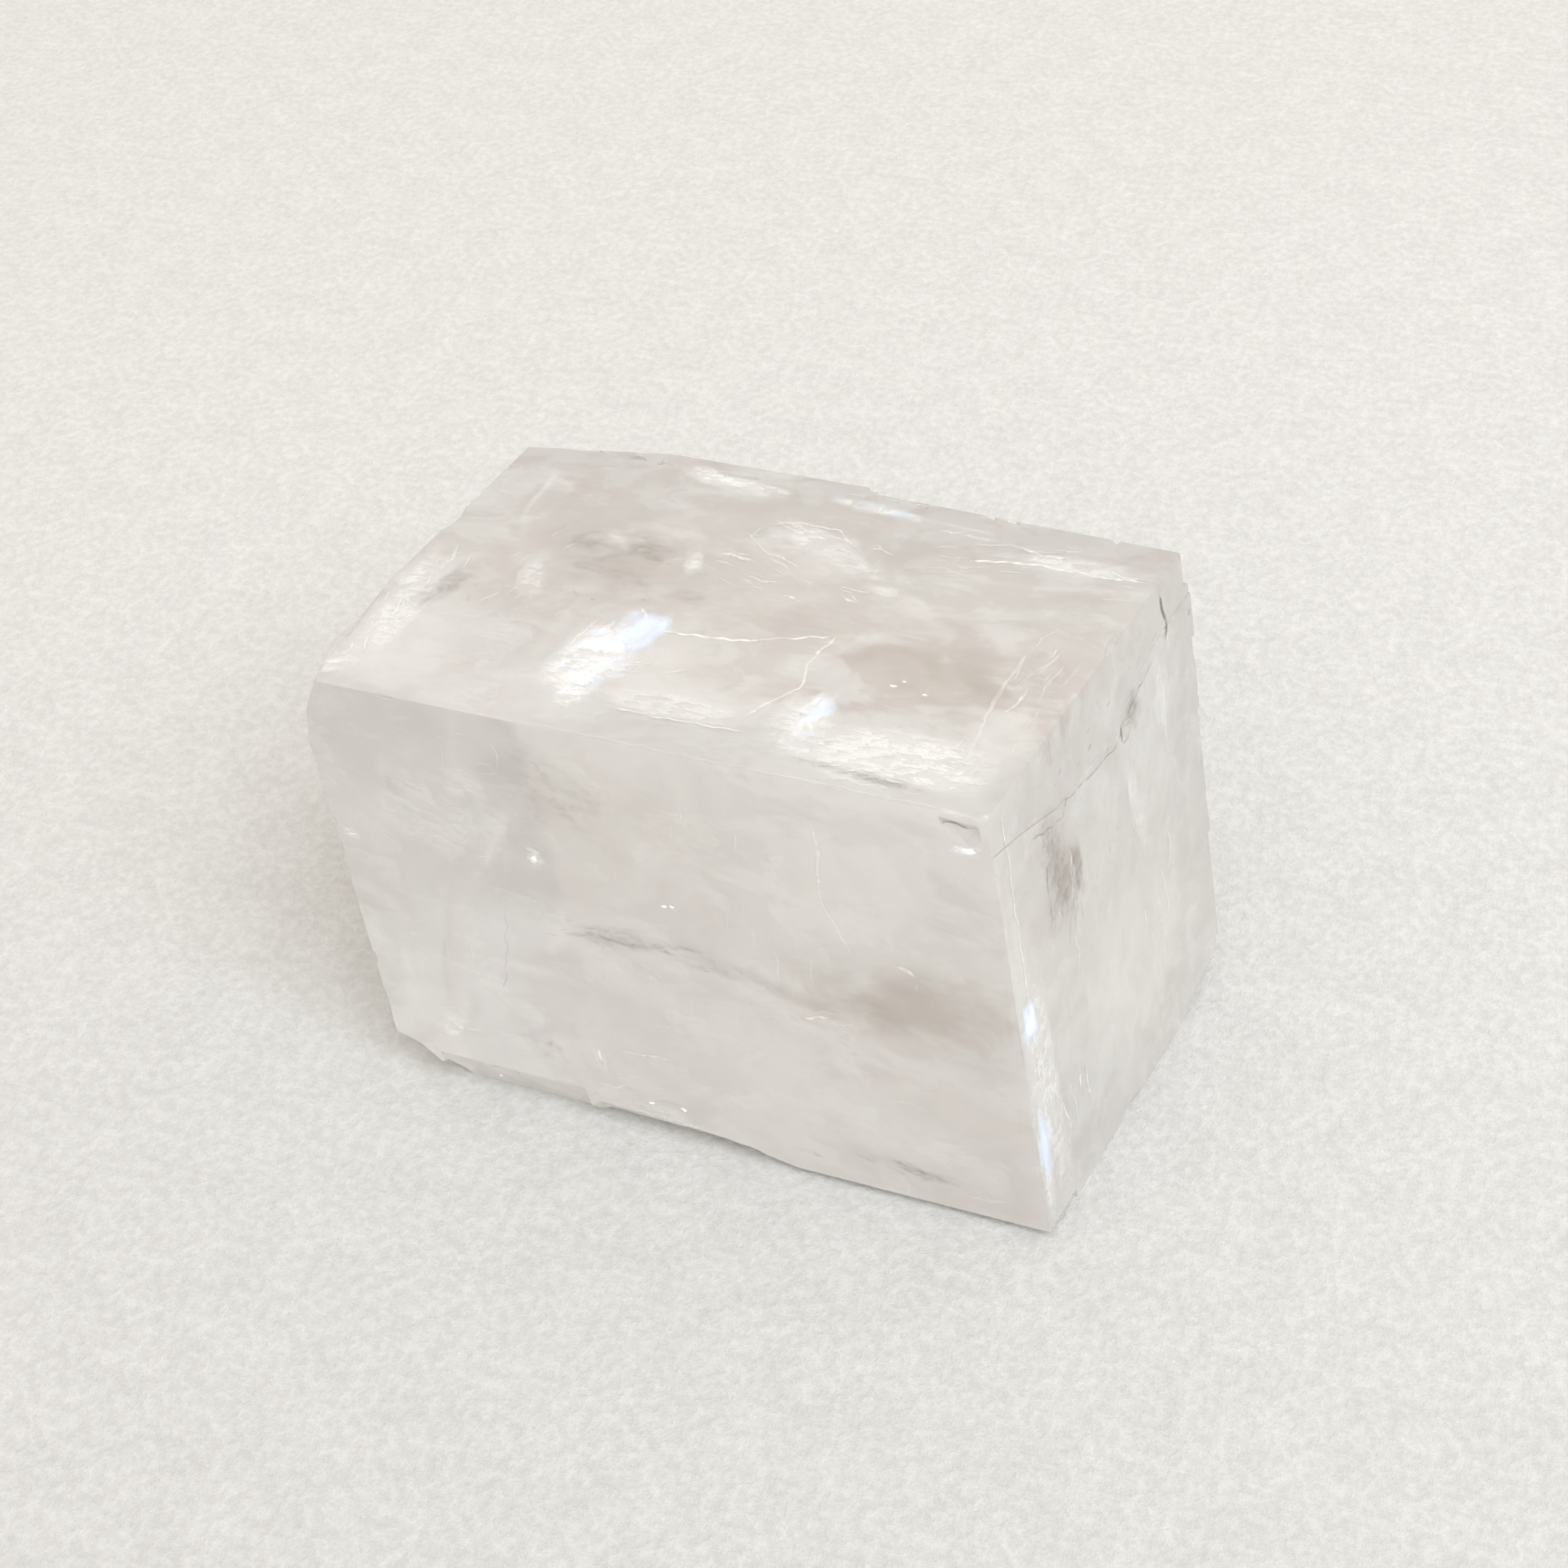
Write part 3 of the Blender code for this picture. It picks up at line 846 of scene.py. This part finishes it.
iceAndHighlights = {
    "material": "brightCleavageAndHighlights",
    "colour": (0.97, 0.97, 0.965),
    "stretch": (0.3, 0.75, 0.6),
    "clearBelow": 0.2,
    "fullAbove": 0.48,
    "most": 0.75,
    "roughness": 0.45,
    "betweenFlakes": 0.45,
    "seed": 8,
    # bright broken cleavage close to the skin, with painted highlights and reflections: face, centre, reach,
    # turn in degrees, strength
    "patches": [
        # painted reflection of the window: the bright blob
        ("top", (34.9, 5.7), (1.5, 3.2), 5, 1.0),
        ("top", (35.0, 5.4), (2.4, 3.8), 15, 0.6),
        # painted reflection: the bright band along the top front edge
        ("top", (42.0, 3.4), (10.0, 3.6), -4, 0.7),
        ("top", (40.0, 2.6), (4.0, 2.2), -4, 0.6),
        # painted reflection under the rainbow sheen
        ("top", (18.3, 6.6), (3.2, 5.6), 4, 1.0),
        ("top", (26.5, 4.4), (6.0, 1.9), 0, 0.5),
        ("top", (2.6, 9.0), (2.2, 8.0), 10, 0.6),
        ("top", (25.6, 23.6), (3.8, 2.0), -12, 0.55),
        ("top", (29.4, 21.8), (3.6, 1.5), -24, 0.4),
        ("top", (35.0, 18.6), (4.6, 1.2), -24, 0.2),
        ("top", (19.0, 19.0), (0.8, 2.0), 20, 0.5),
        ("top", (16.5, 28.4), (5.0, 1.0), -8, 0.7),
        ("top", (43.5, 25.6), (7.0, 1.2), 2, 0.6),
        ("top", (1.2, 1.6), (3.0, 1.2), 30, 0.8),
        ("top", (9.4, 14.2), (1.2, 3.0), 30, 0.4),
        ("top", (13.6, 19.6), (2.6, 1.0), -20, 0.4),
        ("top", (33.0, 19.6), (2.2, 0.7), -10, 0.4),
        # painted highlight on the lip of the pit under the front top edge
        ("front", (48.2, 31.2), (1.3, 0.5), 0, 1.0),
        # painted highlight in a nick
        ("front", (16.0, 22.8), (0.8, 0.7), 60, 0.7),
        ("front", (5.2, 5.8), (2.6, 1.4), 50, 0.5),
        ("front", (21.6, 1.6), (3.6, 0.9), 4, 0.8),
        ("front", (17.1, 6.4), (0.5, 1.4), 10, 0.8),
        ("front", (1.2, 21.5), (0.9, 0.6), 10, 0.8),
        ("front", (9.0, 25.5), (6.5, 4.0), 24, 0.26),
        ("right", (1.9, 12.0), (2.2, 14.0), 1, 0.6),
        ("right", (0.7, 6.0), (1.0, 6.0), 0, 0.55),
        ("right", (18.5, 21.5), (1.0, 5.0), 10, 0.4),
        ("right", (24.0, 26.0), (1.4, 4.5), 8, 0.4),
    ],
}

stainAndDarkReflection = {
    "material": "greyStainAndDarkReflection",
    "colour": (0.46, 0.44, 0.41),
    "stretch": (0.35, 0.8, 0.6),
    "clearBelow": 0.25,
    "fullAbove": 0.5,
    "most": 0.5,
    "roughness": 0.45,
    "betweenFlakes": 0.3,
    "seed": 10,
    # small grey flecks and seams, and a painted dark reflection in a crack: face, centre, reach, turn in
    # degrees, strength
    "patches": [
        # painted dark reflection in a crack inside the right face
        ("right", (7.4, 24.0), (2.9, 5.6), 10, 0.85),
        ("right", (9.9, 23.0), (0.9, 2.8), 8, 0.7),
        ("right", (19.6, 28.0), (1.4, 1.6), 40, 0.8),
        ("top", (4.3, 11.7), (1.3, 3.4), -10, 0.5),
        ("top", (15.2, 19.0), (2.4, 1.6), -10, 0.6),
        ("top", (10.6, 19.3), (2.2, 1.5), 10, 0.5),
        ("top", (13.6, 16.6), (4.6, 2.6), -16, 0.3),
        ("top", (20.6, 15.4), (2.6, 1.3), -10, 0.35),
        ("top", (41.5, 1.6), (6.0, 0.5), -3, 0.5),
        ("front", (21.0, 17.5), (5.4, 1.1), 5, 0.36),
        ("front", (29.5, 17.0), (7.0, 1.3), -6, 0.25),
        ("front", (5.5, 26.5), (1.8, 1.2), -10, 0.25),
        ("front", (19.0, 29.0), (4.6, 3.0), -20, 0.25),
        ("front", (40.6, 3.2), (4.6, 0.8), -4, 0.32),
        ("front", (13.0, 5.8), (1.4, 1.0), 30, 0.4),
    ],
}

# white cracks, with one painted glint along the top front edge
whiteLines = {
    "material": "crackWhiteAndGlint",
    "colour": (0.97, 0.97, 0.96),
    "stretch": (0.7, 1.6, 1.6),
    "clearBelow": 0.22,
    "fullAbove": 0.5,
    "most": 1.0,
    "roughness": 0.45,
    "seed": 7,
    # face, points, width, strength
    "strokes": [
        ("top", [(18.2, 13.6), (20.1, 11.4), (26.0, 11.7), (32.4, 14.1)], 0.2, 0.9),
        ("top", [(32.4, 14.1), (32.0, 11.0), (32.9, 8.3), (31.6, 6.2), (30.6, 4.6)], 0.22, 0.6),
        ("top", [(22.1, 3.1), (27.0, 3.2), (31.9, 3.3)], 0.18, 0.6),
        # painted highlight: a thin glint along the top front edge
        ("top", [(18.0, 0.25), (30.0, 0.2), (40.0, 0.25), (48.6, 0.25)], 0.12, 0.22),
        ("top", [(36.6, 24.3), (40.6, 25.1), (45.6, 25.05), (49.2, 25.2)], 0.26, 0.9),
        ("top", [(21.6, 24.2), (23.6, 25.2), (26.6, 25.0), (29.4, 23.2)], 0.18, 0.5),
        ("top", [(21.6, 24.2), (21.2, 22.8), (23.0, 21.4), (26.4, 20.4)], 0.14, 0.4),
        ("top", [(46.3, 4.3), (45.9, 7.0), (45.2, 10.6), (45.05, 15.8)], 0.3, 0.35),
        ("top", [(16.3, 11.6), (15.9, 8.0), (17.4, 4.4)], 0.25, 0.5),
        ("front", [(37.8, 30.5), (37.3, 24.8), (38.9, 20.7)], 0.3, 0.35),
        ("front", [(41.8, 20.8), (43.4, 20.2)], 0.4, 0.9),
        ("front", [(33.7, 14.35), (36.8, 15.2)], 0.14, 0.9),
        ("front", [(17.1, 7.6), (17.2, 5.6)], 0.3, 0.9),
        ("front", [(19.0, 7.4), (23.0, 7.7)], 0.16, 0.5),
        ("right", [(1.7, 33.0), (1.5, 20.0), (1.6, 6.0)], 0.18, 0.5),
    ],
    # face, low corner, high corner, count, direction, longest, strength
    "feathers": [
        ("top", (37.0, 1.0), (48.0, 5.5), 34, (1.0, 0.1), 3.2, 0.5),
        ("top", (0.6, 1.0), (5.0, 16.0), 26, (-0.25, 1.0), 3.4, 0.5),
        ("top", (17.0, 3.5), (26.0, 12.0), 22, (1.0, 0.25), 2.4, 0.4),
        ("top", (21.0, 17.0), (32.0, 25.0), 30, (1.0, -0.25), 3.0, 0.45),
        ("top", (34.0, 22.5), (49.0, 27.5), 22, (1.0, 0.05), 4.0, 0.4),
        ("top", (6.0, 11.0), (22.0, 21.0), 40, (0.5, 1.0), 1.8, 0.35),
        ("top", (45.0, 2.0), (48.6, 18.0), 20, (0.05, 1.0), 4.0, 0.4),
        ("front", (2.0, 2.0), (26.0, 8.0), 16, (1.0, 0.12), 3.0, 0.25),
        ("front", (30.0, 2.0), (48.0, 12.0), 10, (1.0, 0.05), 3.0, 0.2),
        ("front", (30.0, 13.2), (38.0, 15.6), 8, (1.0, 0.25), 2.4, 0.5),
        ("front", (14.0, 0.9), (23.0, 3.0), 12, (1.0, -0.1), 2.0, 0.6),
        ("front", (4.0, 12.0), (34.0, 31.0), 44, (0.25, 1.0), 2.2, 0.26),
        ("front", (4.0, 18.0), (20.0, 32.0), 24, (1.0, 0.2), 1.6, 0.3),
        ("front", (28.0, 18.0), (48.0, 31.0), 20, (0.2, 1.0), 2.6, 0.26),
        ("right", (2.0, 6.0), (26.0, 31.0), 46, (0.05, 1.0), 5.0, 0.4),
    ],
}

# dark cracks, with one painted shadow in the pit under the front top edge
darkLines = {
    "material": "crackStainAndShade",
    "colour": (0.30, 0.25, 0.21),
    "stretch": (0.7, 1.6, 1.6),
    "clearBelow": 0.3,
    "fullAbove": 0.55,
    "most": 1.0,
    "roughness": 0.45,
    "seed": 9,
    "strokes": [
        ("right", [(25.2, 33.1), (25.5, 31.9), (25.9, 30.4), (25.2, 29.5)], 0.3, 0.9),
        ("right", [(23.4, 29.4), (20.1, 28.6), (16.7, 27.2), (14.9, 27.4), (12.7, 27.7), (9.6, 28.3),
                   (8.7, 27.5), (4.5, 28.9)], 0.12, 0.36),
        ("right", [(18.6, 27.6), (18.2, 26.2)], 0.4, 0.7),
        ("front", [(16.6, 17.0), (19.4, 17.4), (22.0, 17.2), (25.0, 17.9), (27.9, 18.2)], 0.3, 0.12),
        ("front", [(12.65, 18.7), (11.6, 14.0), (10.4, 9.8)], 0.08, 0.16),
        # painted shadow under the overhang of the pit
        ("front", [(46.7, 32.9), (49.2, 32.75)], 0.2, 0.5),
        ("front", [(38.6, 3.6), (44.0, 2.7)], 0.4, 0.12),
    ],
    "feathers": [
        ("front", (33.0, 2.2), (42.0, 4.6), 9, (1.0, -0.1), 2.6, 0.13),
        ("front", (14.0, 16.4), (28.0, 18.8), 12, (1.0, 0.08), 1.6, 0.2),
        ("top", (3.5, 9.5), (9.0, 14.0), 8, (0.6, -1.0), 1.2, 0.25),
        ("top", (13.0, 13.0), (21.0, 18.0), 10, (1.0, -0.4), 1.2, 0.2),
        ("right", (1.5, 26.0), (24.0, 31.0), 16, (1.0, 0.3), 1.0, 0.4),
        ("right", (5.0, 19.0), (10.0, 28.0), 14, (0.2, 1.0), 2.6, 0.3),
    ],
}

# painted reflections of the window, with a slight glow
sheen = {
    "glow": 0.12,
    "most": 0.8,
    "roughness": 0.3,
    "seed": 6,
    "bands": {"Stretch": (0.5, 0.6, 0.25), "Detail": 3.0, "Curl": 0.8, "Low": 0.25, "High": 0.8},
    "cover": {"Stretch": (0.4, 0.4, 0.2), "Offset": (5.0, 1.0, 8.0), "Detail": 5.0, "Curl": 1.0,
              "Low": 0.35, "High": 0.6},
    # the hues of the bands, from 0 to 1
    "stops": [
        (0.0, (0.80, 0.90, 1.0)), (0.3, (0.86, 0.93, 1.0)), (0.45, (0.97, 0.88, 0.93)),
        (0.58, (0.99, 0.97, 0.86)), (0.72, (0.86, 0.97, 0.98)), (1.0, (0.84, 0.86, 1.0)),
    ],
    # painted reflections of the window in the cleavage, with faint rainbow bands: face, centre, reach, turn
    # in degrees, strength
    "patches": [
        ("top", (18.4, 8.2), (3.0, 5.6), 4, 1.0),
        ("top", (35.0, 6.0), (1.2, 2.6), 5, 0.9),
        ("top", (28.0, 28.2), (5.0, 0.8), -3, 0.45),
    ],
}

# painted glints: blue white highlights that glow a little
glints = {
    "material": "blueGlint",
    "colour": (0.775, 0.85, 1.0),
    "stretch": (0.7, 1.6, 1.6),
    "clearBelow": 0.1,
    "fullAbove": 0.4,
    "most": 0.8,
    "roughness": 0.45,
    "glow": 0.2,
    "seed": 12,
    "patches": [
        ("right", (1.3, 17.2), (1.2, 1.9), 0, 1.0),
        ("right", (1.0, 7.4), (1.0, 3.4), 0, 0.5),
        ("top", (19.8, 11.0), (1.9, 2.6), 20, 0.6),
        ("top", (35.3, 7.0), (0.9, 1.2), 0, 0.35),
    ],
}

# painted highlights: glints on nicks and chips
sparkles = {
    "material": "sparkle",
    "colour": (0.95, 0.95, 0.94),
    "stretch": (0.7, 1.6, 1.6),
    "clearBelow": 0.0,
    "fullAbove": 0.1,
    "most": 1.0,
    "roughness": 0.2,
    "glow": 0.2,
    "seed": 2,
    "lift": 0.03,            # mm above the face, and the peak of each
    "peak": 0.07,
    # face, place, size
    "spots": [
        ("top", (38.4, 10.4), 0.35), ("top", (38.9, 11.0), 0.22), ("top", (40.8, 10.1), 0.3),
        ("front", (15.9, 22.9), 0.4), ("front", (25.3, 21.3), 0.3), ("front", (25.9, 21.4), 0.22),
        ("front", (20.5, 3.2), 0.35), ("front", (23.0, 3.25), 0.4), ("front", (7.6, 1.4), 0.3),
        ("front", (48.4, 31.3), 0.6),
    ],
}


def makePatches(name, spec, onSkin, material):
    rng = random.Random(spec["seed"])
    meshes = []
    for face, centre, reach, turn, strength in spec["patches"]:
        rows = patchRows(onSkin, face, centre, reach, math.radians(turn), strength, rng)
        meshes.append(closedFilm(rows))
    return finishPiece(name, meshes, material)


def featherStrokes(spec, rng):
    # short parallel scratches scattered over a stretch of a face
    for face, low, high, count, direction, longest, strength in spec.get("feathers", []):
        for _ in range(count):
            a, b = rng.uniform(low[0], high[0]), rng.uniform(low[1], high[1])
            length = longest * rng.uniform(0.25, 1.0)
            lean = rng.uniform(-0.18, 0.18)
            da = (direction[0] - direction[1] * lean) * length / 2
            db = (direction[1] + direction[0] * lean) * length / 2
            bend = rng.uniform(-0.08, 0.08) * length
            points = [(a - da, b - db), (a - db * bend, b + da * bend), (a + da, b + db)]
            yield face, points, rng.uniform(0.08, 0.3), strength * rng.uniform(0.4, 1.3)


def makeStrokes(name, spec, onSkin, material):
    rng = random.Random(spec["seed"])
    meshes = []
    for face, points, width, strength in spec["strokes"] + list(featherStrokes(spec, rng)):
        rows = strokeRows(onSkin, face, points, width, strength, rng)
        meshes.append(closedFilm(rows))
    return finishPiece(name, meshes, material)


def makeSparkles(onSkin, material):
    # painted highlights that glow a little: tiny bright facets, each a ragged five-sided shard with a low
    # peak
    rng = random.Random(sparkles["seed"])
    bm = bmesh.new()
    fade = bm.verts.layers.float.new("fade")
    for face, (a, b), size in sparkles["spots"]:
        corners = []
        for k in range(5):
            turn = math.tau * (k + rng.uniform(-0.3, 0.3)) / 5
            reach = size * rng.uniform(0.45, 1.0)
            across, down = reach * math.cos(turn), 0.5 * reach * math.sin(turn)
            corners.append(bm.verts.new(onSkin(face, a + across, b + down, sparkles["lift"])))
        peak = bm.verts.new(onSkin(face, a, b, sparkles["peak"]))
        for k in range(5):
            bm.faces.new((corners[k], corners[(k + 1) % 5], peak))
        bm.faces.new(corners[::-1])
    for vert in bm.verts:
        vert[fade] = 1.0
    bmesh.ops.recalc_face_normals(bm, faces=bm.faces)
    mesh = bpy.data.meshes.new("sparkle")
    bm.to_mesh(mesh)
    bm.free()
    piece = finishPiece("sparkles", [mesh], material)
    piece.data.shade_flat()


def sheenMaterial(wisps):
    # painted reflection that glows a little: blue white with faint bands of the spectrum
    material, tree, shader = newMaterial("spectralSheen")
    ramp = addNode(tree, "ShaderNodeValToRGB")
    first, *between, last = sheen["stops"]
    ramp.color_ramp.elements[0].color = (*first[1], 1)
    ramp.color_ramp.elements[1].color = (*last[1], 1)
    for place, colour in between:
        ramp.color_ramp.elements.new(place).color = (*colour, 1)
    link(tree, placeGroup(tree, wisps, sheen["bands"]), ramp.inputs[0])
    link(tree, ramp.outputs["Color"], shader.inputs["Base Color"])
    link(tree, ramp.outputs["Color"], shader.inputs["Emission Color"])
    shader.inputs["Emission Strength"].default_value = sheen["glow"]
    shader.inputs["Roughness"].default_value = sheen["roughness"]
    cover = fadedCover(tree, placeGroup(tree, wisps, sheen["cover"]), sheen["most"])
    link(tree, cover, shader.inputs["Alpha"])
    return material


makeCamera()
makeLights()
makeFloor()
wisps, shards = makeWispGroup(), makeShardGroup()
body = makeBody(crystalMaterial(wisps, shards, makeSpotGroup(), makeSwellGroup()))
onSkin = skinFinder(body)
makePatches("milkyAndLitPatches", milkAndLight, onSkin, filmMaterial(milkAndLight, wisps, shards))
makePatches("icyFlakesAndHighlights", iceAndHighlights, onSkin, filmMaterial(iceAndHighlights, wisps, shards))
makePatches("greyStainsAndDarkReflection", stainAndDarkReflection, onSkin, filmMaterial(stainAndDarkReflection, wisps, shards))
makePatches("smokyAndShadedPatches", smokeAndShade, onSkin, filmMaterial(smokeAndShade, wisps, shards))
makePatches("sheenPatches", sheen, onSkin, sheenMaterial(wisps))
makePatches("blueGlints", glints, onSkin, filmMaterial(glints, wisps, shards))
makeStrokes("whiteLines", whiteLines, onSkin, filmMaterial(whiteLines, wisps, shards))
makeStrokes("darkLines", darkLines, onSkin, filmMaterial(darkLines, wisps, shards))
makeSparkles(onSkin, filmMaterial(sparkles, wisps, shards))
